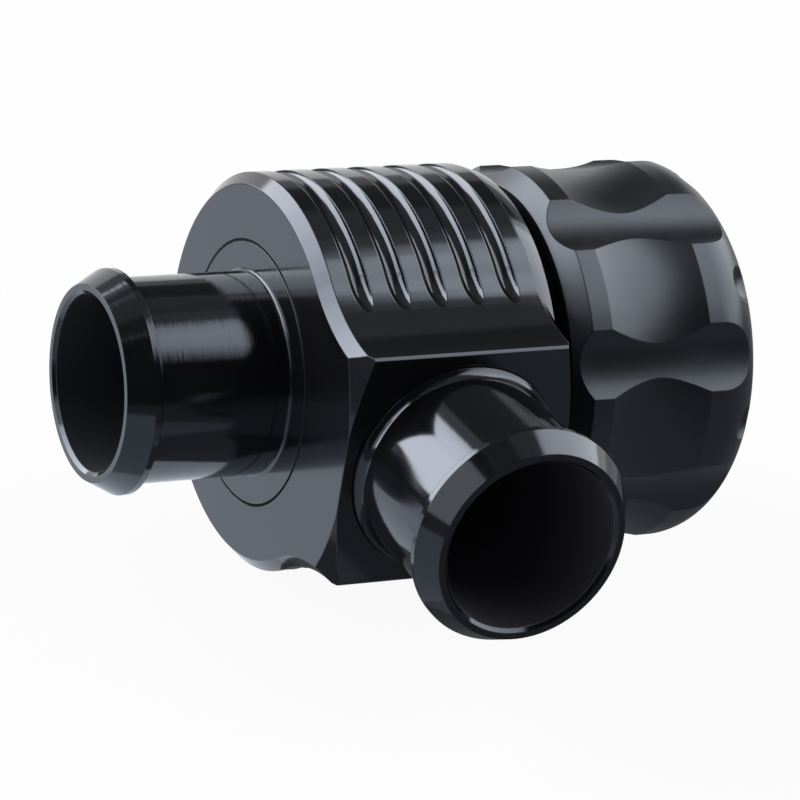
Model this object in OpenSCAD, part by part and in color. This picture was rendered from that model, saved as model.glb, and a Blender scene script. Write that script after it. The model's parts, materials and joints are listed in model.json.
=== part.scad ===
// Piston blow off valve with two hose ports and a scalloped adjuster cap.
// +X runs along the valve axis towards the cap, -Y towards the outlet, +Z up.
// The origin is on the valve axis, in the middle of the inlet's hose bead.

/* [Hose ports] */
// Outside diameter of the hose tubes
tube_d = 25; // [24:0.1:26]
// Wall of the hose tubes
tube_wall = 1.75; // [1.5:0.05:3]
// Length of the inlet beyond the body's end face
inlet_l = 21.1; // [16:0.1:30]
// Length of the outlet beyond the boss face
outlet_l = 20.5; // [16:0.1:30]
// Height of the hose bead over the tube
bead_h = 1.2; // [0.7:0.05:2]
// Step from the tube down to the port's tip
tip_step = 0.5; // [0.2:0.05:1]
// Length of the bead's front cone
bead_cone_l = 3; // [2:0.1:5]
// Length of the bead's round land
bead_land_l = 0.8; // [0.5:0.1:2]
// Length of the bead's back cone
bead_back_l = 0.65; // [0.5:0.05:3]
// Chamfer inside the port's tip
tip_c = 0.45; // [0.1:0.05:0.6]
// Diameter of the inlet flange that is set into the body
flange_d = 32.5; // [31.5:0.1:36]
// Thickness of the inlet flange
flange_t = 4; // [3.4:0.1:4.4]
// Step from the tube up to the outlet's collar and spigot
collar_step = 0.8; // [0.6:0.05:1.2]
// Length of the outlet's spigot
spigot_l = 7; // [5:0.1:8]
// Fillet where the inlet's tube meets its flange
inlet_root_r = 0.4; // [0.2:0.05:0.8]
// Fillet between the outlet's tube and its collar
outlet_root_r = 1.6; // [1.5:0.1:2.5]
// Plain length of the outlet's collar below that fillet
collar_l = 0.6; // [0.3:0.1:2]

/* [Body] */
// Diameter of the body's round back
body_d = 48.9; // [46:0.1:52]
// Length of the body without its neck
body_l = 29.4; // [28.4:0.1:34]
// Distance from the valve axis to the boss face
boss_y = 27.8; // [26.5:0.1:31]
// Height of the boss face
boss_h = 30; // [29:0.1:34]
// Chamfer round both ends of the body
edge_c = 1.4; // [0.5:0.1:2]
// Diameter at which the turned corner chamfers start on the end faces
corner_d = 56.4; // [56:0.1:60]
// Angle between a turned corner chamfer and the end face
corner_angle = 30; // [20:1:45]
// Broken edge along the top and bottom of the boss face
boss_edge = 0.35; // [0.1:0.05:0.6]
// Bore that the piston slides in
bore_d = 30; // [29:0.1:31]
// Diameter of the neck that the cap screws on
neck_d = 40; // [38.5:0.1:41]
// Length of the neck
neck_l = 16.4; // [15:0.1:18]
// Length of the neck's thread, which is left at its core diameter
thread_l = 10; // [6:0.1:10.5]
// Depth of the neck's thread
thread_depth = 0.8; // [0.4:0.1:1.2]

/* [Cooling grooves] */
// Number of grooves round the body
groove_count = 5; // [1:1:5]
// Distance between grooves
groove_pitch = 4.9; // [4:0.1:5.2]
// Depth of the grooves
groove_depth = 1; // [0.5:0.05:1.2]
// Radius of the grooves' round bottom
groove_nose_r = 1.3; // [1.25:0.05:1.6]
// Radius of the wheel cutter that leaves the pointed groove ends
groove_cutter_r = 8.4; // [6:0.1:10]

/* [Cap] */
// Diameter over the cap's lands
cap_d = 48.2; // [47:0.1:52]
// Length of the cap
cap_l = 27.4; // [25:0.1:32]
// Gap between the body and the cap in the middle of its adjustment
cap_gap = 3.7; // [3.2:0.1:5]
// Size of the chamfered shoulder that faces the body
cap_shoulder = 2.1; // [1:0.1:2.4]
// Width of the land beside the shoulder
cap_land_l = 2.75; // [1.5:0.05:4]
// Width of the hollow waist
waist_l = 13.7; // [10:0.1:14]
// Depth of the hollow waist
waist_depth = 1.05; // [0.4:0.05:1.3]
// Radius of the cap's rounded end
cap_round_r = 6.8; // [3:0.1:8]
// Number of finger flutes
flute_count = 8; // [4:1:10]
// Radius of the finger flutes
flute_r = 9; // [6:0.1:12]
// Depth of the finger flutes
flute_depth = 1.4; // [0.6:0.05:1.8]
// Thickness of the cap's end wall
cap_wall = 5; // [4:0.1:7]
// Diameter of the spring chamber in the cap
chamber_d = 29; // [27.5:0.1:32]
// Diameter of the spanner dimples in the rounded end, one on each land
spanner_d = 5; // [3:0.1:5.4]
// Depth of the spanner dimples
spanner_depth = 1.1; // [0.5:0.1:1.5]
// Tilt of the spanner dimples from square to the axis
spanner_tilt = 42; // [35:1:55]
// Core diameter of the tapped signal port in the middle of the cap's end
signal_d = 5; // [3:0.1:6]
// Diameter of the spot face round the signal port
spot_d = 12; // [9:0.1:14]
// Depth of the spot face
spot_depth = 0.6; // [0.4:0.1:1]

/* [Piston and spring] */
// Length of the piston
piston_l = 31; // [30:0.1:33]
// Wall of the piston under its ring grooves
piston_wall = 1.1; // [0.8:0.1:2]
// Thickness of the piston's face
piston_face_t = 3.5; // [3:0.1:6]
// Diameter of the shallow dish in the piston's face
dish_d = 16; // [8:0.5:20]
// Depth of the shallow dish
dish_depth = 1.6; // [0.5:0.1:2.4]
// Width of the lands between the piston's ring grooves
land_l = 0.8; // [0.5:0.1:1]
// Wire diameter of the return spring
spring_wire_d = 1.8; // [1.2:0.1:2]
// Mean diameter of the return spring
spring_d = 19; // [17:0.1:20]
// Number of turns of the return spring
spring_turns = 8; // [5:0.5:10]
// Diameter of the spring seat and its thrust washer
seat_d = 26.6; // [23:0.1:27]
// Thickness of the spring seat
seat_t = 1.6; // [1:0.1:3]
// Length of the hub that centres the spring
hub_l = 3; // [2:0.1:6]
// Diameter of the hole through the spring seat
seat_hole_d = 8; // [4:0.5:10]
// Thickness of the thrust washer
washer_t = 0.8; // [0.5:0.1:1.5]

/* [Seals and clearances] */
// Wire diameter of the O-rings in the ports, in the cap's neck and on the piston
ring_wire_d = 1.8; // [1.4:0.1:2]
// Wire diameter of the nose seal
nose_wire_d = 2; // [1.5:0.1:2.2]
// How far the nose seal stands out of the piston's face
nose_proud = 0.4; // [0.2:0.05:0.6]
// Distance from the inlet's bore out to the middle of the nose seal
nose_reach = 1.55; // [1.2:0.05:1.6]
// Width of the guide band
band_l = 3; // [2:0.1:3.2]
// Thickness of the guide band
band_t = 1.2; // [0.8:0.05:1.4]
// Radial clearance of fitted pieces
fit_clear = 0.05; // [0.02:0.01:0.1]
// Radial clearance of sliding and turning pieces
run_clear = 0.08; // [0.04:0.01:0.1]
// Room between faces that come together
face_clear = 0.05; // [0.02:0.01:0.2]
// Room round a seal or band in its groove
ring_room = 0.03; // [0.01:0.01:0.05]
// Radial room between the spring and the hub that centres it
hub_clear = 0.3; // [0.1:0.05:0.6]
// Travel of the cap each way from the middle of its adjustment
cap_travel = 2.6; // [1:0.1:2.8]

/* [Hidden] */
$fn = 96;
// Cutters reach this far past what they cut
over = 1;
black_anodised = [0.05, 0.05, 0.06];
satin_black = [0.08, 0.08, 0.09];
seal_black = [0.03, 0.03, 0.03];

tube_r = tube_d / 2;
tube_bore_r = tube_r - tube_wall;
bead_r = tube_r + bead_h;
tip_r = tube_r - tip_step;
flange_r = flange_d / 2;
spigot_r = tube_r + collar_step;
body_r = body_d / 2;
bore_r = bore_d / 2;
neck_r = neck_d / 2;
cap_r = cap_d / 2;
ring_r = ring_wire_d / 2;
nose_r = nose_wire_d / 2;

// Stations along the valve axis
bead_mid = bead_cone_l + bead_land_l / 2;
inlet_tip_x = -bead_mid;
face_x = inlet_tip_x + inlet_l;
seat_x = face_x + flange_t;
outlet_x = face_x + body_l / 2;
body_end_x = face_x + body_l;
neck_end_x = body_end_x + neck_l;
cap_x = body_end_x + cap_gap;
cap_end_x = cap_x + cap_l;
chamber_end_x = cap_end_x - cap_wall;
// Room between the neck's end and the cap when it is screwed right in
socket_room = 0.6;
socket_end_x = neck_end_x + cap_travel + socket_room;

// Seams between a flush flange and its seat show as a fine groove
seam_c = 0.18;
// Ring grooves are a little wider than the ring
ring_groove_w = ring_wire_d * 1.2;
// Height over the boss face at which the outlet's fillet runs into its tube
outlet_root_h = collar_l + sqrt(collar_step * (2 * outlet_root_r - collar_step));
// Mean radius of an O-ring, and the floor of its groove, from the wall that it seals
function ring_mean(wall_r) = wall_r - ring_room - ring_r;
function ring_floor(wall_r) = wall_r - 2 * ring_room - ring_wire_d;

// S-shaped blend from the round back to the boss face: an arc that leaves the round
// back where it would touch it and ends level with the edge of the boss face
blend_bite = 0.02;
boss_half = boss_h / 2;
blend_r = (boss_y * boss_y + boss_half * boss_half - body_r * body_r) / (2 * (body_r - boss_half));
blend_z = boss_half + blend_r - blend_bite;
blend_angle = atan2(blend_z, boss_y);
// A groove's end is cut a trace wider than its run, so that the two always join
groove_bite = 0.02;

// Cap profile
cap_lip_r = cap_r - cap_shoulder;
waist_x = cap_shoulder + cap_land_l;
waist_r = (waist_l * waist_l / 4 + waist_depth * waist_depth) / (2 * waist_depth);
socket_r = neck_r + run_clear;
cap_ring_x = neck_end_x - ring_groove_w;
chamber_r = chamber_d / 2;

// Piston and what it carries
piston_r = bore_r - run_clear;
piston_cup_r = ring_floor(bore_r) - piston_wall;
nose_seal_r = tube_bore_r + nose_reach;
piston_x = seat_x + face_clear + nose_proud;
piston_end_x = piston_x + piston_l;
rear_seal_x = piston_end_x - land_l - ring_groove_w / 2;
band_x = rear_seal_x - ring_groove_w / 2 - land_l / 2 - band_l;
front_seal_x = band_x - land_l / 2 - ring_groove_w / 2;
band_r = bore_r - ring_room;

// Spring stack
washer_x = chamber_end_x - face_clear - washer_t;
spring_seat_x = washer_x - seat_t;
seat_r = seat_d / 2;
hub_r = spring_d / 2 - spring_wire_d / 2 - hub_clear;
seat_hole_r = seat_hole_d / 2;
spring_x = piston_x + piston_face_t + face_clear;
spring_l = spring_seat_x - face_clear - spring_x;

// Turns a profile of [radius, station] points about the valve axis
module turned(points) {
    rotate([0, 90, 0]) rotate_extrude() polygon(points);
}

// Solid cylinder on the valve axis between two stations
module disc(r, x0, x1) {
    translate([x0, 0, 0]) rotate([0, 90, 0]) cylinder(r = r, h = x1 - x0);
}

// O-ring on the valve axis
module o_ring(x, mean_r, wire_r) {
    translate([x, 0, 0]) rotate([0, 90, 0]) rotate_extrude()
        translate([mean_r, 0]) circle(wire_r, $fn = 32);
}

// Rectangular groove round a surface of radius r, down to a floor
module ring_groove(x, r, floor_r, width) {
    difference() {
        disc(r + over, x - width / 2, x + width / 2);
        disc(floor_r, x - width, x + width);
    }
}

// Places what is made along +X with its tip at the origin onto the outlet's axis
module on_outlet() {
    translate([outlet_x, -boss_y, 0]) rotate([0, 0, 90]) translate([-outlet_l, 0, 0]) children();
}

// Outline of a hose port from its tip to the face that it stands on
function port_outline() = [
    [tube_bore_r, tip_c],
    [tube_bore_r + tip_c, 0],
    [tip_r, 0],
    [bead_r, bead_cone_l],
    [bead_r, bead_cone_l + bead_land_l],
    [tube_r, bead_cone_l + bead_land_l + bead_back_l]
];

// Section of a hose port: the tube, a hollow fillet from root_x out to a shoulder, then its base
module port_section(root_x, root_r, shoulder_r, base_outline) {
    difference() {
        polygon(concat(port_outline(), [[tube_r, root_x], [shoulder_r, root_x]], base_outline));
        translate([tube_r + root_r, root_x]) circle(root_r);
    }
}

module inlet_port() {
    color(black_anodised) translate([inlet_tip_x, 0, 0]) difference() {
        rotate([0, 90, 0]) rotate_extrude()
            port_section(inlet_l - inlet_root_r, inlet_root_r, tube_r + inlet_root_r, [
                [tube_r + inlet_root_r, inlet_l],
                [flange_r - seam_c, inlet_l],
                [flange_r, inlet_l + seam_c],
                [flange_r, inlet_l + flange_t],
                [tube_bore_r, inlet_l + flange_t]
            ]);
        ring_groove(inlet_l + flange_t / 2, flange_r, ring_floor(flange_r + fit_clear), ring_groove_w);
    }
}

module inlet_o_ring() {
    color(seal_black) o_ring(face_x + flange_t / 2, ring_mean(flange_r + fit_clear), ring_r);
}

module outlet_port() {
    color(black_anodised) on_outlet() difference() {
        rotate([0, 90, 0]) rotate_extrude()
            port_section(outlet_l - outlet_root_h, outlet_root_r, spigot_r, [
                [spigot_r, outlet_l + spigot_l],
                [tube_bore_r, outlet_l + spigot_l]
            ]);
        ring_groove(outlet_l + spigot_l / 2, spigot_r, ring_floor(spigot_r + fit_clear), ring_groove_w);
    }
}

module outlet_o_ring() {
    color(seal_black) on_outlet() o_ring(outlet_l + spigot_l / 2, ring_mean(spigot_r + fit_clear), ring_r);
}

// Round back of the body with its chamfered ends
module body_round() {
    turned([
        [0, face_x],
        [body_r - edge_c, face_x],
        [body_r, face_x + edge_c],
        [body_r, body_end_x - edge_c],
        [body_r - edge_c, body_end_x],
        [0, body_end_x]
    ]);
}

// Limit of the boss: its corners are turned off at both ends like a nut's
module corner_limit() {
    corner_r = corner_d / 2;
    far_r = norm([boss_y, boss_half + over]);
    run = (far_r - corner_r) * tan(corner_angle);
    turned([
        [0, face_x],
        [corner_r, face_x],
        [far_r, face_x + run],
        [far_r, body_end_x - run],
        [corner_r, body_end_x],
        [0, body_end_x]
    ]);
}

// Hollow of one S-shaped blend, flared at both ends by the end chamfer
module blend_cut(side) {
    flare_r = blend_r + edge_c + over;
    translate([0, -boss_y, side * blend_z]) {
        disc(blend_r, face_x - over, body_end_x + over);
        turned([[0, face_x - over], [flare_r, face_x - over], [0, face_x - over + flare_r]]);
        turned([[0, body_end_x + over], [flare_r, body_end_x + over], [0, body_end_x + over - flare_r]]);
    }
}

// Boss between the S-shaped blends
module body_boss() {
    inner = body_r - blend_bite / 2;
    reach = boss_half + over;
    corner = [-inner * cos(blend_angle), inner * sin(blend_angle)];
    edge_w = boss_edge * sqrt(2);
    difference() {
        intersection() {
            translate([face_x, 0, 0]) rotate([90, 0, 90]) linear_extrude(body_l) polygon([
                [0, 0],
                corner,
                [-boss_y, reach],
                [-boss_y, -reach],
                [corner[0], -corner[1]]
            ]);
            corner_limit();
        }
        for (side = [-1, 1]) {
            blend_cut(side);
            translate([outlet_x, -boss_y, side * boss_half]) rotate([45, 0, 0])
                cube([body_l + 2 * over, edge_w, edge_w], center = true);
        }
    }
}

// One cooling groove: round the back, then up and out along the wheel cutter's radius
module groove(x) {
    path_r = body_r - groove_depth + groove_nose_r;
    end_r = groove_cutter_r - groove_nose_r;
    out_r = path_r + end_r;
    translate([x, 0, 0]) {
        rotate([blend_angle, 0, 0]) groove_bend(path_r, groove_nose_r, 360 - 2 * blend_angle);
        for (side = [-1, 1])
            translate([0, -out_r * cos(blend_angle), side * out_r * sin(blend_angle)])
                groove_bend(end_r, groove_nose_r + groove_bite, 360);
    }
}

// Part of a round-wired hoop about the valve axis, from -Y towards -Z
module groove_bend(mean_r, nose_r, sweep) {
    rotate([0, 90, 0]) rotate([0, 0, -90]) rotate_extrude(angle = sweep)
        translate([mean_r, 0]) circle(nose_r, $fn = 32);
}

module valve_body() {
    first_x = outlet_x - (groove_count - 1) / 2 * groove_pitch;
    pocket_r = flange_r + fit_clear;
    color(black_anodised) difference() {
        union() {
            body_round();
            body_boss();
            disc(neck_r, body_end_x - over, neck_end_x);
        }
        disc(bore_r, face_x + over, neck_end_x + over);
        turned([
            [0, face_x - over],
            [pocket_r + seam_c + over, face_x - over],
            [pocket_r, face_x + seam_c],
            [pocket_r, seat_x],
            [0, seat_x]
        ]);
        on_outlet() {
            disc(spigot_r + fit_clear, outlet_l - over, outlet_l + spigot_l);
            disc(tube_bore_r, outlet_l, outlet_l + boss_y - tube_bore_r);
        }
        ring_groove(body_end_x + thread_l / 2, neck_r, neck_r - thread_depth, thread_l);
        ring_groove(cap_ring_x, neck_r, ring_floor(socket_r), ring_groove_w);
        for (i = [0 : groove_count - 1])
            groove(first_x + i * groove_pitch);
    }
}

module cap_o_ring() {
    color(seal_black) o_ring(cap_ring_x, ring_mean(socket_r), ring_r);
}

// Section of the cap: shoulder, land, hollow waist, land and rounded end
module cap_section() {
    difference() {
        union() {
            polygon([
                [0, 0],
                [cap_lip_r, 0],
                [cap_r, cap_shoulder],
                [cap_r, cap_l - cap_round_r],
                [cap_r - cap_round_r, cap_l],
                [0, cap_l]
            ]);
            translate([cap_r - cap_round_r, cap_l - cap_round_r]) circle(cap_round_r);
        }
        translate([cap_r - waist_depth + waist_r, waist_x + waist_l / 2]) circle(waist_r, $fn = 180);
    }
}

// Tapped port that carries the pressure signal into the chamber behind the piston
module signal_port() {
    disc(signal_d / 2, chamber_end_x - over, cap_end_x + over);
    disc(spot_d / 2, cap_end_x - spot_depth, cap_end_x + over);
}

// Ball-milled dimple for a spanner, square to the rounded end, on one land
module spanner_dimple(angle) {
    ball_r = (spanner_d * spanner_d / 4 + spanner_depth * spanner_depth) / (2 * spanner_depth);
    rotate([angle, 0, 0]) translate([cap_end_x - cap_round_r, cap_round_r - cap_r, 0])
        rotate([0, 0, spanner_tilt - 90]) translate([cap_round_r - spanner_depth + ball_r, 0, 0])
            sphere(ball_r);
}

module cap() {
    flute_axis = cap_r - flute_depth + flute_r;
    pitch = 360 / flute_count;
    color(satin_black) difference() {
        translate([cap_x, 0, 0]) rotate([0, 90, 0]) rotate_extrude() cap_section();
        disc(socket_r, cap_x - over, socket_end_x);
        disc(chamber_r, socket_end_x - over, chamber_end_x);
        for (i = [0 : flute_count - 1]) {
            rotate([(i + 0.5) * pitch, 0, 0]) translate([0, -flute_axis, 0])
                disc(flute_r, cap_x - over, cap_end_x + over);
            spanner_dimple(i * pitch);
        }
        signal_port();
    }
}

module piston() {
    color(black_anodised) difference() {
        disc(piston_r, piston_x, piston_end_x);
        disc(piston_cup_r, piston_x + piston_face_t, piston_end_x + over);
        translate([piston_x, 0, 0]) {
            difference() {
                disc(nose_seal_r + nose_r + ring_room, -over, nose_wire_d - nose_proud + ring_room);
                disc(nose_seal_r - nose_r - ring_room, -2 * over, nose_wire_d);
            }
            turned([[0, -over], [dish_d / 2, -over], [dish_d / 2, 0], [0, dish_depth]]);
        }
        for (x = [front_seal_x, rear_seal_x])
            ring_groove(x, piston_r, ring_floor(bore_r), ring_groove_w);
        ring_groove(band_x + band_l / 2, piston_r, band_r - band_t - ring_room, band_l + 2 * ring_room);
    }
}

module nose_seal() {
    color(seal_black) o_ring(piston_x - nose_proud + nose_r, nose_seal_r, nose_r);
}

module piston_seal(x) {
    color(seal_black) o_ring(x, ring_mean(bore_r), ring_r);
}

module guide_band() {
    color("ivory") difference() {
        disc(band_r, band_x, band_x + band_l);
        disc(band_r - band_t, band_x - over, band_x + band_l + over);
    }
}

// Rings of points along the spring's wire, with the first and last turn wound closed
closed_pitch = spring_wire_d * 1.1;
open_l = spring_l - spring_wire_d - 2 * closed_pitch;
function spring_station(t) = let (turn = t * spring_turns)
    spring_wire_d / 2
    + closed_pitch * (min(turn, 1) + max(turn - spring_turns + 1, 0))
    + open_l * max(0, min(1, (turn - 1) / (spring_turns - 2)));

function spring_ring(t, sides) = let (turn = 360 * spring_turns * t)
    [for (k = [0 : sides - 1]) let (a = 360 * k / sides, r = spring_d / 2 + spring_wire_d / 2 * cos(a))
        [spring_x + spring_station(t) + spring_wire_d / 2 * sin(a), r * cos(turn), r * sin(turn)]];

module return_spring() {
    sides = 8;
    steps = 20 * spring_turns;
    points = [for (i = [0 : steps]) each spring_ring(i / steps, sides)];
    walls = [for (i = [0 : steps - 1], k = [0 : sides - 1]) let (n = (k + 1) % sides)
        [i * sides + k, i * sides + n, (i + 1) * sides + n, (i + 1) * sides + k]];
    first = [for (k = [0 : sides - 1]) sides - 1 - k];
    last = [for (k = [0 : sides - 1]) steps * sides + k];
    color("silver") polyhedron(points, concat(walls, [first, last]));
}

module spring_seat() {
    color("silver") difference() {
        union() {
            disc(seat_r, spring_seat_x, spring_seat_x + seat_t);
            disc(hub_r, spring_seat_x - hub_l, spring_seat_x + seat_t);
        }
        disc(seat_hole_r, spring_seat_x - hub_l - over, spring_seat_x + seat_t + over);
    }
}

module thrust_washer() {
    color("ivory") difference() {
        disc(seat_r, washer_x, washer_x + washer_t);
        disc(seat_hole_r, washer_x - over, washer_x + washer_t + over);
    }
}

valve_body();
inlet_port();
inlet_o_ring();
outlet_port();
outlet_o_ring();
cap();
cap_o_ring();
piston();
nose_seal();
piston_seal(front_seal_x);  // piston_seal_front
piston_seal(rear_seal_x);  // piston_seal_rear
guide_band();
return_spring();
spring_seat();
thrust_washer();
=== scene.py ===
"""Looks of the blow off valve: finishes, small added forms, studio light and camera.

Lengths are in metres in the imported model's frame: X runs along the valve axis from the inlet to
the cap, -Y along the outlet and Z up. Azimuths are in degrees: 0 is -Y and 90 is +X.
"""
import json
import math

import bpy
from mathutils import Matrix, Vector


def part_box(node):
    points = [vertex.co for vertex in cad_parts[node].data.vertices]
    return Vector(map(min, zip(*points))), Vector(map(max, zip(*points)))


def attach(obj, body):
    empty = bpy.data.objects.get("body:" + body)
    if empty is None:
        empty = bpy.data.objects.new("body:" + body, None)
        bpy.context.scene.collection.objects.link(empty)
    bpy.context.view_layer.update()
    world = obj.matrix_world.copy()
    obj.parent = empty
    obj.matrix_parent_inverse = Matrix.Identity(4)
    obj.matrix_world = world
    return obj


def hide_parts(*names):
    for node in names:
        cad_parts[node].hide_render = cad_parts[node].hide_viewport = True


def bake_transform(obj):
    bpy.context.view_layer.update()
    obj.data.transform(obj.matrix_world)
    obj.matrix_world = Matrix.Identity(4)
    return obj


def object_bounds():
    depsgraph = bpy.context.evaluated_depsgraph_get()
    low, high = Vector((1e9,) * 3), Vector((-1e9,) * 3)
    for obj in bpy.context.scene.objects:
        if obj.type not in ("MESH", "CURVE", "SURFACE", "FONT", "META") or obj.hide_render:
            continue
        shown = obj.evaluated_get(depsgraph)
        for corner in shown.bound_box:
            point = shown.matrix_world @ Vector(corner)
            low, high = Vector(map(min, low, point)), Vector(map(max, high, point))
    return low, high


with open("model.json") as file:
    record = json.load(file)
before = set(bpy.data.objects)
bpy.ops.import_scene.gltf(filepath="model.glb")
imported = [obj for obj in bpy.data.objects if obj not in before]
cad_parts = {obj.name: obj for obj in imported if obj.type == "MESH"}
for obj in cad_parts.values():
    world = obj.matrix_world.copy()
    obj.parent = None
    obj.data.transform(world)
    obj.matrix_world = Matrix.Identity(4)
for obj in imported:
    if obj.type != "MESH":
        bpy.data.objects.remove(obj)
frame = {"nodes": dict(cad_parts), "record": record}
cad_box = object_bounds()
MM = 0.001

# Camera, fitted to the photograph's circles and edges
CAMERA_AZIMUTH = -29.715
CAMERA_ELEVATION = 24.835
CAMERA_ROLL = 9.292
CAMERA_DISTANCE = 530.997 * MM
CAMERA_TARGET = Vector((39.52, 0, -5.341)) * MM
CAMERA_CLIP = 0.01
FOCAL_PIXELS = 4252.4
IMAGE_PIXELS = 800
SENSOR_MM = 36

# Black anodic skin: its colours, and the bluish cast of its reflections
GLOSS_BLACK = (0.006, 0.006, 0.007)
SATIN_BLACK = (0.007, 0.0072, 0.008)
SKIN_TINT = (0.78, 0.85, 1.0)
SKIN_IOR = 1.79

# Its clouds, with the shares of the colour and the span of noise that they take, and its relief
CLOUD_SCALE = 160.0
CLOUD_SHARES = (0.8, 1.25)
CLOUD_SPAN = (0.3, 0.7)
GRAIN_SCALE = 9000.0
GRAIN_SHARE = 0.35
MARKS_PER_RADIAN = 2.5
RELIEF_DEPTH = 0.02 * MM
EDGE_SAMPLES = 8

# Darkest and lightest colours of the other finishes
RUBBER_TONES = ((0.012, 0.012, 0.012), (0.03, 0.03, 0.03))
PLASTIC_TONES = ((0.62, 0.59, 0.5), (0.78, 0.75, 0.66))
STEEL_TONES = ((0.42, 0.42, 0.43), (0.62, 0.62, 0.64))
STEEL_ROUGHNESS = (0.2, 0.38)
# Painted shade: the matt black of the ring in the flange's seam, standing in for its shadow
SEAM_SHADE_TONES = ((0.004, 0.004, 0.005), (0.009, 0.009, 0.011))
SEAM_SHADE_ROUGHNESS = 0.8
SEAM_SHADE_MIRROR = 0.1

# Bore of both hose ports, a trace past its wall, and its dull finish
BORE_RADIUS = 10.8 * MM
BORE_ROUGHNESS = 0.5
# Painted light in the bores: colours lighter than the black skin, the outlet's most, stand in for
# light that reaches inside
INLET_BORE_PAINTED_LIGHT = (0.017, 0.0165, 0.02)
OUTLET_BORE_PAINTED_LIGHT = (0.06, 0.056, 0.07)

# Thread on the neck: it starts beside the body and its crests stay clear of the cap's socket.
# The flanks are shares of the pitch from the ridge's middle, and the ends run out in half a turn
GAP_AT_REST = 3.7 * MM
THREAD_PITCH = 1.5 * MM
THREAD_LENGTH = 9 * MM
THREAD_CORE = 19.2 * MM
THREAD_CREST = 19.94 * MM
THREAD_ROOT_BITE = 0.05 * MM
THREAD_ROOT_SHARE = 0.46
THREAD_CREST_SHARE = 0.08
THREAD_RUN_OUT = 0.5
THREAD_STEPS_PER_TURN = 90
THREAD_SHARP = math.radians(25)

# Shoulder round the neck's foot: it starts at the body's broken edge, drops by a growing slope and
# ends clear of the screwed-in cap
COLLAR_RADIUS = 24.43 * MM
COLLAR_BACK = 1.38 * MM
COLLAR_REACH = 1.05 * MM
COLLAR_SLOPES = (11, 25)
COLLAR_EDGE = 0.1 * MM
COLLAR_POINTS = 10

# Black ring in the fine groove round the inlet's flange, just below the face: painted shade for the
# seam's shadow
SEAM_RADII = (16.08 * MM, 16.44 * MM)
SEAM_FOOT_RADII = (16.2 * MM, 16.32 * MM)
SEAM_TOP = 0.02 * MM
SEAM_FOOT = 0.15 * MM

# Shoulder and sealant are turned rings
RING_STEPS = 180
RING_SHARP = math.radians(20)

# Return spring, as the frame has it, and the share of its open length that the front part takes
SPRING_WIRE = 1.8 * MM
SPRING_TURNS = 8
SPRING_CLOSED_PITCH = 1.1 * SPRING_WIRE
SPRING_FRONT_SHARE = 0.76
SPRING_SIDES = 14
SPRING_STEPS_PER_TURN = 48

# Studio: all levels are radiances against a white of 1
STUDIO_CENTRE = Vector((38, -5, 0)) * MM
LAMP_TINT = (0.97, 0.985, 1.0)
FILL_TINT = (0.9, 0.95, 1.0)
FILL_LEVEL = 0.2

# Softboxes: azimuths, elevations and level of each upright strip
RIGHT_BOX_DISTANCE = 0.6
RIGHT_BOX = (
    ((30, 38), (40, 64), 0.45),
    ((38, 50), (29, 68), 1.0),
    ((50, 64), (16, 69), 1.2),
    ((64, 78), (14, 69), 1.4),
    ((78, 92), (13, 67), 1.7),
    ((92, 105), (13, 63), 1.85),
    ((105, 117), (13, 53), 1.8),
    ((117, 122), (13, 44), 1.2),
)
LEFT_BACK_BOX_DISTANCE = 0.8
LEFT_BACK_BOX = (
    ((-163, -150), (2, 40), 4.1),
    ((-150, -138), (2, 46), 4.5),
    ((-138, -122), (3, 52), 4.4),
    ((-122, -108), (4, 52), 3.9),
    ((-108, -98), (5, 52), 3.3),
    ((-98, -84), (33, 52), 2.8),
)

# Floor, and the cards on it that only reflections see: name, azimuths, radii and level
FLOOR_SIZE = 6.0
FLOOR_DROP = 0.1 * MM
FLOOR_GLOW = 0.94
FLOOR_CLOUD_SCALE = 3.0
FLOOR_TONES = ((0.9, 0.9, 0.9), (0.93, 0.93, 0.93))
TABLE_TINT = (0.84, 0.91, 1.0)
TABLE_NEAR = 0.045
TABLE_EDGE = 0.18
TABLE_END = 1.5
TABLE_STEPS = 24
# The cards are painted reflections of the table: lighter behind and beside the object, darker near
# it and towards the front and right, as its painted shadow
TABLE_CARDS = (
    ("table_back", (-180, -95), (0, TABLE_EDGE), 0.95),
    ("table_beside", (-95, -60), (0, TABLE_NEAR), 0.95),
    ("table_near", (-60, -6), (0, TABLE_NEAR), 0.13),
    ("table_left", (-95, -28), (TABLE_NEAR, TABLE_EDGE), 0.46),
    ("table_front", (-28, -6), (TABLE_NEAR, TABLE_END), 0.28),
    ("table_right", (-6, 22), (0, TABLE_END), 0.12),
    ("table_far_right", (22, 106), (0, TABLE_END), 0.19),
    ("table_right_back", (106, 132), (0, TABLE_END), 0.45),
    ("beyond_table", (-165, -28), (TABLE_EDGE, TABLE_END), 0.12),
)

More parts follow.
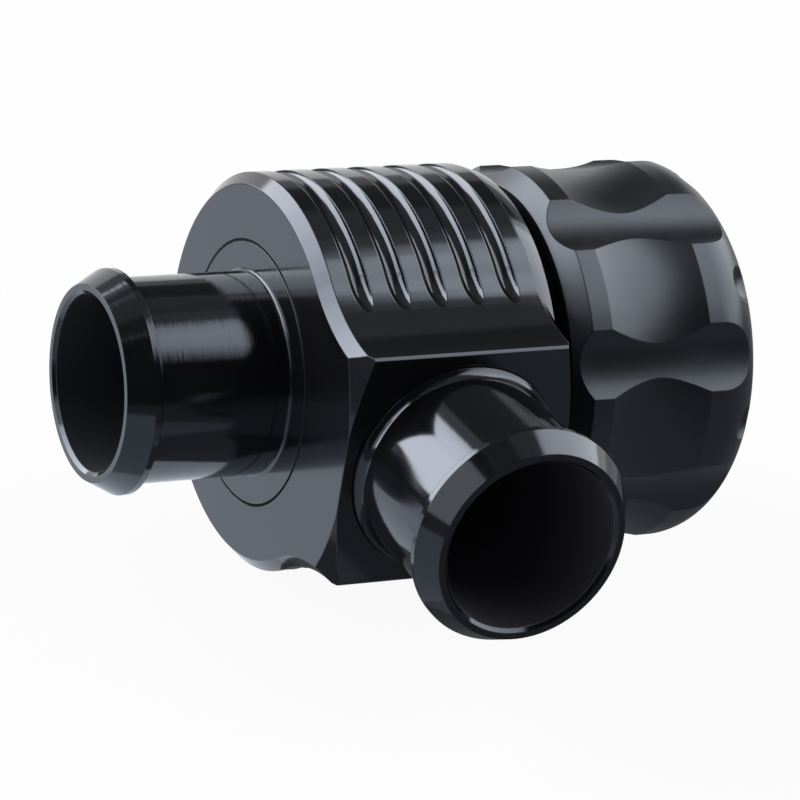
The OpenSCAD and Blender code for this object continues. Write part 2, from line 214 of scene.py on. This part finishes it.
# Flags, the dark cards that only reflections see: name, azimuths, elevations, layer, level and
# radius. Each layer is a step farther out. All are behind the lamps, so the top ones are farther
# away: the tall strips reach past the nearer radius there
FLAG_RADIUS = 1.3
TOP_FLAG_RADIUS = 3.2
FLAG_STEP = 0.013
FLAG_CELLS = 12
# The flags are painted reflections: glowing cards, dark to grey, that light nothing and cast no
# shadow
FLAGS = (
    ("front_flag", (-70, 34), (-14, 66), 0, 0.02, FLAG_RADIUS),
    ("front_low_flag", (-77, -70), (-14, 24), 0, 0.03, FLAG_RADIUS),
    ("front_right_flag", (34, 44), (13, 37), 0, 0.04, FLAG_RADIUS),
    ("front_top_flag", (-80, 20), (64, 90), 1, 0.09, TOP_FLAG_RADIUS),
    ("top_flag", (-180, 180), (64, 90), 2, 0.23, TOP_FLAG_RADIUS),
    ("back_flag", (118, 186), (24, 46), 3, 0.06, FLAG_RADIUS),
    ("back_high_flag", (118, 186), (46, 66), 3, 0.18, FLAG_RADIUS),
    ("back_low_flag", (118, 170), (12, 24), 3, 0.3, FLAG_RADIUS),
    ("back_left_flag", (186, 202), (22, 66), 3, 0.33, FLAG_RADIUS),
    ("right_top_flag", (100, 118), (56, 66), 3, 0.3, FLAG_RADIUS),
    ("right_foot_flag", (34, 100), (-2, 13), 4, 0.13, FLAG_RADIUS),
    ("right_back_flag", (100, 132), (-2, 3), 4, 0.45, FLAG_RADIUS),
    ("left_foot_flag", (-164, -77), (-2, 3), 5, 0.1, FLAG_RADIUS),
    ("left_top_flag", (-172, -100), (53, 66), 5, 0.18, FLAG_RADIUS),
    ("left_gap_flag", (-100, -69), (54, 66), 5, 0.05, FLAG_RADIUS),
    ("left_corner_flag", (-172, -146), (44, 53), 5, 0.15, FLAG_RADIUS),
)


def direction(azimuth, elevation):
    """Unit vector from the object."""
    a = math.radians(azimuth)
    e = math.radians(elevation)
    return Vector((math.sin(a) * math.cos(e), -math.cos(a) * math.cos(e), math.sin(e)))


def between(limits, share):
    return limits[0] + (limits[1] - limits[0]) * share


def link(obj):
    bpy.context.scene.collection.objects.link(obj)
    return obj


def mesh_object(name, verts, faces, material):
    data = bpy.data.meshes.new(name)
    data.from_pydata(verts, [], faces)
    data.materials.append(material)
    return link(bpy.data.objects.new(name, data))


def add_camera():
    back = direction(CAMERA_AZIMUTH, CAMERA_ELEVATION)
    level = (-back).cross(Vector((0, 0, 1))).normalized()
    upright = level.cross(-back)
    roll = math.radians(CAMERA_ROLL)
    right = math.cos(roll) * level + math.sin(roll) * upright
    up = math.cos(roll) * upright - math.sin(roll) * level
    data = bpy.data.cameras.new("camera")
    data.sensor_width = SENSOR_MM
    data.lens = SENSOR_MM * FOCAL_PIXELS / IMAGE_PIXELS
    data.clip_start = CAMERA_CLIP
    camera = link(bpy.data.objects.new("camera", data))
    turn = Matrix((right, up, back)).transposed().to_4x4()
    camera.matrix_world = Matrix.Translation(CAMERA_TARGET + CAMERA_DISTANCE * back) @ turn
    bpy.context.scene.camera = camera


# Node trees

class Tree:
    """Short calls to build the node tree of a material or a world."""

    def __init__(self, owner):
        self.owner = owner
        owner.use_nodes = True
        self.nodes = owner.node_tree.nodes
        self.links = owner.node_tree.links
        self.nodes.clear()

    def add(self, kind, inputs=None, **settings):
        node = self.nodes.new("ShaderNode" + kind)
        for key, value in settings.items():
            setattr(node, key, value)
        for key, value in (inputs or {}).items():
            self.put(node.inputs[key], value)
        return node

    def put(self, socket, value):
        if isinstance(value, bpy.types.NodeSocket):
            self.links.new(value, socket)
        else:
            socket.default_value = value

    def math(self, operation, a, b=0.0):
        node = self.add("Math", operation=operation)
        self.put(node.inputs[0], a)
        self.put(node.inputs[1], b)
        return node.outputs[0]

    def place(self):
        return self.add("TexCoord").outputs["Object"]

    def noise(self, vector, scale, detail, roughness=0.5):
        node = self.add("TexNoise", {"Vector": vector, "Scale": scale, "Detail": detail,
                                     "Roughness": roughness})
        return node.outputs["Fac"]

    def ramp(self, share, tones):
        """Colour between the darkest and the lightest tone by a share."""
        node = self.add("ValToRGB")
        for stop, colour in zip(node.color_ramp.elements, tones):
            stop.color = (*colour, 1)
        self.put(node.inputs[0], share)
        return node.outputs[0]

    def background_seen(self):
        """1 for the rays that show the background: straight, mirrored or through glass."""
        path = self.add("LightPath").outputs
        mirrored = self.math("MAXIMUM", path["Is Camera Ray"], path["Is Glossy Ray"])
        return self.math("MAXIMUM", mirrored, path["Is Transmission Ray"])

    def finish(self, shader, output="OutputMaterial"):
        node = self.add(output)
        self.links.new(shader.outputs[0], node.inputs["Surface"])
        return self.owner


def material_tree(name):
    return Tree(bpy.data.materials.new(name))


# Finishes

def turned_coords(tree, axis, centre):
    """Place along a turning axis of the frame, radius from it and angle about it."""
    moved = tree.add("VectorMath", operation="SUBTRACT")
    tree.put(moved.inputs[0], tree.place())
    moved.inputs[1].default_value = centre
    parts = tree.add("SeparateXYZ")
    tree.links.new(moved.outputs[0], parts.inputs[0])
    across = [parts.outputs[a] for a in "XYZ" if a != axis]
    square = [tree.math("POWER", place, 2.0) for place in across]
    radius = tree.math("SQRT", tree.math("ADD", square[0], square[1]))
    return parts.outputs[axis], radius, tree.math("ARCTAN2", across[0], across[1])


def lathe_marks(tree, turned, width):
    """Height of fine turning marks: rings along the axis and on flat ends, drawn out round it."""
    along, radius, angle = turned
    ring = tree.add("CombineXYZ")
    tree.put(ring.inputs[0], tree.math("MULTIPLY", along, 1 / width))
    tree.put(ring.inputs[1], tree.math("MULTIPLY", radius, 1 / width))
    tree.put(ring.inputs[2], tree.math("MULTIPLY", angle, MARKS_PER_RADIAN))
    return tree.noise(ring.outputs[0], scale=1.0, detail=3.0, roughness=0.6)


def anodised(name, colour, roughness, spread, turning, marks, relief, edge, bore_painted_light=None):
    """Dyed anodic layer: a dark skin whose polish varies a little, and a lighter colour in a bore,
    which is painted light.

    turning is the axis and centre of the turning marks, marks their width, relief their strength
    and edge the radius that softens the edges.
    """
    tree = material_tree(name)
    turned = turned_coords(tree, *turning)
    cloud = tree.noise(tree.place(), CLOUD_SCALE, detail=4.0, roughness=0.55)
    grain = tree.noise(tree.place(), GRAIN_SCALE, detail=2.0)
    rough = tree.add("MapRange", {"Value": cloud,
                                  "From Min": CLOUD_SPAN[0], "From Max": CLOUD_SPAN[1],
                                  "To Min": roughness - spread, "To Max": roughness + spread})
    tone = tree.ramp(cloud, [[c * share for c in colour] for share in CLOUD_SHARES])
    inside = tree.math("LESS_THAN", turned[1], BORE_RADIUS if bore_painted_light else 0.0)
    dull = tree.math("MULTIPLY", inside, BORE_ROUGHNESS)
    polish = tree.math("MAXIMUM", rough.outputs[0], dull)
    # Painted light: a lighter colour inside the bore
    hue = tree.add("MixRGB", {"Fac": inside, "Color1": tone, "Color2": (*(bore_painted_light or colour), 1)})
    soft_edge = tree.add("Bevel", {"Radius": edge}, samples=EDGE_SAMPLES)
    height = tree.math("ADD", tree.math("MULTIPLY", grain, GRAIN_SHARE),
                       lathe_marks(tree, turned, marks))
    bump = tree.add("Bump", {"Strength": relief, "Distance": RELIEF_DEPTH, "Height": height,
                             "Normal": soft_edge.outputs[0]})
    shader = tree.add("BsdfPrincipled", {"Base Color": hue.outputs[0], "Roughness": polish,
                                         "Normal": bump.outputs[0]})
    shader.inputs["IOR"].default_value = SKIN_IOR
    shader.inputs["Specular Tint"].default_value = (*SKIN_TINT, 1)
    return tree.finish(shader)


def grained(name, tones, scale, detail, roughness, relief):
    """Rubber or plastic: a fine grain in colour and height."""
    tree = material_tree(name)
    grain = tree.noise(tree.place(), scale, detail)
    bump = tree.add("Bump", {"Strength": relief, "Distance": RELIEF_DEPTH, "Height": grain})
    shader = tree.add("BsdfPrincipled", {"Base Color": tree.ramp(grain, tones),
                                         "Roughness": roughness, "Normal": bump.outputs[0]})
    return tree.finish(shader)


def spring_steel(name):
    """Bare steel whose colour and polish vary."""
    tree = material_tree(name)
    cloud = tree.noise(tree.place(), scale=1500.0, detail=3.0)
    rough = tree.add("MapRange", {"Value": cloud, "To Min": STEEL_ROUGHNESS[0],
                                  "To Max": STEEL_ROUGHNESS[1]})
    shader = tree.add("BsdfPrincipled", {"Base Color": tree.ramp(cloud, STEEL_TONES),
                                         "Metallic": 1.0, "Roughness": rough.outputs[0]})
    return tree.finish(shader)


def seam_shade(name):
    """Matt black that hardly mirrors, as painted shade for a shadowed gap."""
    tree = material_tree(name)
    grain = tree.noise(tree.place(), scale=3000.0, detail=3.0)
    shader = tree.add("BsdfPrincipled", {"Base Color": tree.ramp(grain, SEAM_SHADE_TONES),
                                         "Roughness": SEAM_SHADE_ROUGHNESS})
    shader.inputs["Specular IOR Level"].default_value = SEAM_SHADE_MIRROR
    return tree.finish(shader)


def dress_nodes():
    """Gives each node of the frame its finish, and returns the finishes by node."""
    mounts = {mount["name"]: mount["pos_m"] for mount in frame["record"]["mounts"]}
    about_valve = ("X", (0, 0, 0))
    about_outlet = ("Y", tuple(mounts["outlet_port"]))
    body = anodised("body_black", GLOSS_BLACK, roughness=0.12, spread=0.02, turning=about_valve,
                    marks=0.15 * MM, relief=0.02, edge=0.2 * MM)
    inlet = anodised("inlet_black", GLOSS_BLACK, roughness=0.08, spread=0.02, turning=about_valve,
                     marks=0.5 * MM, relief=0.55, edge=0.06 * MM, bore_painted_light=INLET_BORE_PAINTED_LIGHT)
    outlet = anodised("outlet_black", GLOSS_BLACK, roughness=0.1, spread=0.02, turning=about_outlet,
                      marks=0.4 * MM, relief=0.15, edge=0.1 * MM, bore_painted_light=OUTLET_BORE_PAINTED_LIGHT)
    cap = anodised("cap_black", SATIN_BLACK, roughness=0.33, spread=0.03, turning=about_valve,
                   marks=0.2 * MM, relief=0.05, edge=0.2 * MM)
    piston = anodised("piston_black", GLOSS_BLACK, roughness=0.3, spread=0.05, turning=about_valve,
                      marks=0.2 * MM, relief=0.1, edge=0.1 * MM)
    seal = grained("seal_rubber", RUBBER_TONES, scale=4000.0, detail=4.0, roughness=0.6,
                   relief=0.2)
    plastic = grained("slide_plastic", PLASTIC_TONES, scale=700.0, detail=3.0, roughness=0.45,
                      relief=0.15)
    steel = spring_steel("spring_steel")
    finishes = {
        "valve_body": body, "inlet_port": inlet, "outlet_port": outlet, "cap": cap,
        "piston": piston, "guide_band": plastic, "thrust_washer": plastic,
        "spring_seat": steel, "return_spring": steel,
    }
    for name, obj in frame["nodes"].items():
        obj.data.materials.clear()
        obj.data.materials.append(finishes.get(name, seal))
    return finishes


# Forms that the frame leaves plain

def about_axis(x, radius, turn):
    """Point about the valve axis, turned from +Y towards +Z."""
    a = 2 * math.pi * turn
    return Vector((x, radius * math.cos(a), radius * math.sin(a)))


def fade(t):
    """Smooth step from 0 to 1."""
    t = min(max(t, 0.0), 1.0)
    return t * t * (3 - 2 * t)


def body_end():
    """Place of the body's end face, behind the gap to the cap."""
    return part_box("cap")[0].x - GAP_AT_REST


def smooth_solid(name, sections, material, closed):
    """Smooth solid through sections of equal point counts, closed to a ring or capped."""
    sides = len(sections[0])
    rows = len(sections)
    verts = [point for section in sections for point in section]
    faces = []
    for i in range(rows if closed else rows - 1):
        here, there = i * sides, (i + 1) % rows * sides
        for k in range(sides):
            beside = (k + 1) % sides
            faces.append((here + k, there + k, there + beside, here + beside))
    if not closed:
        last = (rows - 1) * sides
        faces.append(tuple(range(sides)))
        faces.append(tuple(range(last + sides - 1, last - 1, -1)))
    solid = mesh_object(name, verts, faces, material)
    solid.data.polygons.foreach_set("use_smooth", [True] * len(faces))
    return solid


def turned_ring(name, profile, material):
    """Ring with a closed profile of places along the valve axis and radii about it."""
    sections = [[about_axis(x, r, i / RING_STEPS) for x, r in profile] for i in range(RING_STEPS)]
    ring = smooth_solid(name, sections, material, closed=True)
    ring.data.set_sharp_from_angle(angle=RING_SHARP)
    return ring


def add_neck_thread(material):
    """Right-hand thread ridge on the neck's core, run out at both ends."""
    start = body_end() + THREAD_PITCH / 2
    turns = THREAD_LENGTH / THREAD_PITCH
    steps = round(turns * THREAD_STEPS_PER_TURN)
    low = THREAD_CORE - THREAD_ROOT_BITE
    sections = []
    for i in range(steps + 1):
        turn = turns * i / steps
        run_out = fade(turn / THREAD_RUN_OUT) * fade((turns - turn) / THREAD_RUN_OUT)
        high = THREAD_CORE + (THREAD_CREST - THREAD_CORE) * run_out
        x = start + THREAD_PITCH * turn
        flank = [(-THREAD_ROOT_SHARE, low), (-THREAD_CREST_SHARE, high),
                 (THREAD_CREST_SHARE, high), (THREAD_ROOT_SHARE, low)]
        sections.append([about_axis(x + share * THREAD_PITCH, r, turn) for share, r in flank])
    thread = smooth_solid("neck_thread", sections, material, closed=False)
    thread.data.set_sharp_from_angle(angle=THREAD_SHARP)
    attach(thread, "housing")


def add_end_collar(material):
    """Shoulder round the neck's foot, which rounds off the body's end."""
    start = body_end() - COLLAR_BACK
    end = body_end() + COLLAR_REACH
    length = COLLAR_BACK + COLLAR_REACH - COLLAR_EDGE
    first, last = (math.tan(math.radians(a)) for a in COLLAR_SLOPES)
    profile = []
    for i in range(COLLAR_POINTS + 1):
        t = i / COLLAR_POINTS
        drop = length * (first * t + (last - first) * t * t / 2)
        profile.append((start + t * length, COLLAR_RADIUS - drop))
    edge_radius = profile[-1][1] - COLLAR_EDGE
    profile += [(end, edge_radius), (end, THREAD_CORE), (start, THREAD_CORE)]
    collar = turned_ring("end_collar", profile, material)
    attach(collar, "housing")


def add_flange_seam(material):
    """Black ring in the fine groove round the inlet's flange: painted shade for the seam's shadow.
    """
    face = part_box("valve_body")[0].x
    profile = [(face + SEAM_TOP, SEAM_RADII[0]), (face + SEAM_TOP, SEAM_RADII[1]),
               (face + SEAM_FOOT, SEAM_FOOT_RADII[1]), (face + SEAM_FOOT, SEAM_FOOT_RADII[0])]
    seam = turned_ring("flange_seam", profile, material)
    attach(seam, "housing")


def spring_sections(low, high):
    """Sections of a round wire wound with closed ends between two corners, and their places."""
    wire_r = SPRING_WIRE / 2
    mean_r = high.y - wire_r
    open_length = high.x - low.x - SPRING_WIRE - 2 * SPRING_CLOSED_PITCH
    steps = SPRING_TURNS * SPRING_STEPS_PER_TURN
    sections, places = [], []
    for i in range(steps + 1):
        turn = SPRING_TURNS * i / steps
        closed = min(turn, 1) + max(turn - SPRING_TURNS + 1, 0)
        opened = min(max((turn - 1) / (SPRING_TURNS - 2), 0), 1)
        x = low.x + wire_r + SPRING_CLOSED_PITCH * closed + open_length * opened
        ring = []
        for k in range(SPRING_SIDES):
            a = 2 * math.pi * k / SPRING_SIDES
            ring.append(about_axis(x + wire_r * math.sin(a), mean_r + wire_r * math.cos(a), turn))
        sections.append(ring)
        places.append(x)
    return sections, places


def add_spring(material):
    """Return spring in two parts, front and rear, cut at a share of its open length, in place of
    the frame's spring.
    """
    low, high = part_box("return_spring")
    sections, places = spring_sections(low, high)
    closed_length = SPRING_CLOSED_PITCH + SPRING_WIRE
    open_from, open_to = low.x + closed_length, high.x - closed_length
    meet = between((open_from, open_to), SPRING_FRONT_SHARE)
    cut = min(range(len(places)), key=lambda i: abs(places[i] - meet))
    front = smooth_solid("return_spring_front", sections[:cut + 1], material, closed=False)
    rear = smooth_solid("return_spring_rear", sections[cut:], material, closed=False)
    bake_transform(front)
    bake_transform(rear)
    for part in (front, rear):
        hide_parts("return_spring")


# Studio

def add_softbox(name, distance, strips):
    """Upright strips of area lamp, which show their level to the object."""
    for i, (azimuths, elevations, level) in enumerate(strips):
        half = math.radians(azimuths[1] - azimuths[0]) / 2
        low, high = (distance * math.tan(math.radians(e)) for e in elevations)
        data = bpy.data.lights.new(f"{name}_{i}", "AREA")
        data.shape = "RECTANGLE"
        data.size = 2 * distance * math.tan(half)
        data.size_y = high - low
        data.color = LAMP_TINT
        data.energy = level * math.pi * data.size * data.size_y
        lamp = link(bpy.data.objects.new(data.name, data))
        away = direction(sum(azimuths) / 2, 0)
        lamp.location = STUDIO_CENTRE + distance * away + Vector((0, 0, (low + high) / 2))
        lamp.rotation_euler = away.to_track_quat("Z", "Y").to_euler()


def add_world():
    """White where the background is seen, and a plain fill light for everything else."""
    world = bpy.data.worlds.new("studio")
    bpy.context.scene.world = world
    tree = Tree(world)
    fill = tree.add("Background", {"Color": (*FILL_TINT, 1), "Strength": FILL_LEVEL})
    white = tree.add("Background", {"Color": (1, 1, 1, 1)})
    mix = tree.add("MixShader", {0: tree.background_seen(), 1: fill.outputs[0],
                                 2: white.outputs[0]})
    tree.finish(mix, "OutputWorld")


def add_floor():
    """White floor that keeps the object's shadow, with its cards."""
    half = FLOOR_SIZE / 2
    z = cad_box[0][2] - FLOOR_DROP
    tree = material_tree("floor_white")
    cloud = tree.noise(tree.place(), FLOOR_CLOUD_SCALE, detail=2.0)
    matt = tree.add("BsdfDiffuse", {"Color": tree.ramp(cloud, FLOOR_TONES)})
    glow = tree.add("Emission", {"Color": (1, 1, 1, 1), "Strength": 1.0})
    share = tree.math("MULTIPLY", tree.background_seen(), FLOOR_GLOW)
    mix = tree.add("MixShader", {0: share, 1: matt.outputs[0], 2: glow.outputs[0]})
    corners = [(-half, -half, z), (half, -half, z), (half, half, z), (-half, half, z)]
    mesh_object("floor", corners, [(0, 1, 2, 3)], tree.finish(mix))
    for name, azimuths, radii, level in TABLE_CARDS:
        add_table_card(name, azimuths, radii, z + FLOOR_DROP / 2, level)


def add_card(name, verts, faces, tint, level):
    """Glowing card that only reflections see."""
    tree = material_tree(name)
    material = tree.finish(tree.add("Emission", {"Color": (*tint, 1), "Strength": level}))
    card = mesh_object(name, verts, faces, material)
    card.visible_camera = False
    card.visible_diffuse = False
    card.visible_transmission = False
    card.visible_shadow = False
    card.visible_volume_scatter = False


def add_table_card(name, azimuths, radii, z, level):
    """Card on the floor between two radii: a painted reflection of the table, lit or in the
    object's shadow.
    """
    middle = Vector((STUDIO_CENTRE.x, 0, z))
    verts = []
    for i in range(TABLE_STEPS + 1):
        away = direction(between(azimuths, i / TABLE_STEPS), 0)
        verts += [middle + radius * away for radius in radii]
    faces = [(2 * i, 2 * i + 1, 2 * i + 3, 2 * i + 2) for i in range(TABLE_STEPS)]
    add_card(name, verts, faces, TABLE_TINT, level)


def add_flag(name, azimuths, elevations, layer, level, radius):
    """Dark curved card that glows, a painted reflection, so that black metal has something dark to
    mirror.
    """
    row = FLAG_CELLS + 1
    verts = []
    for i in range(row):
        for j in range(row):
            away = direction(between(azimuths, i / FLAG_CELLS),
                             between(elevations, j / FLAG_CELLS))
            verts.append(STUDIO_CENTRE + (radius + layer * FLAG_STEP) * away)
    faces = [(i * row + j, i * row + j + 1, (i + 1) * row + j + 1, (i + 1) * row + j)
             for i in range(FLAG_CELLS) for j in range(FLAG_CELLS)]
    add_card(name, verts, faces, LAMP_TINT, level)


def main():
    bpy.context.scene.view_settings.view_transform = "Standard"
    add_camera()
    finishes = dress_nodes()
    add_neck_thread(finishes["valve_body"])
    add_end_collar(finishes["valve_body"])
    add_flange_seam(seam_shade("seam_shade_black"))
    add_spring(finishes["return_spring"])
    add_softbox("right_box", RIGHT_BOX_DISTANCE, RIGHT_BOX)
    add_softbox("left_back_box", LEFT_BACK_BOX_DISTANCE, LEFT_BACK_BOX)
    add_world()
    add_floor()
    for flag in FLAGS:
        add_flag(*flag)


main()
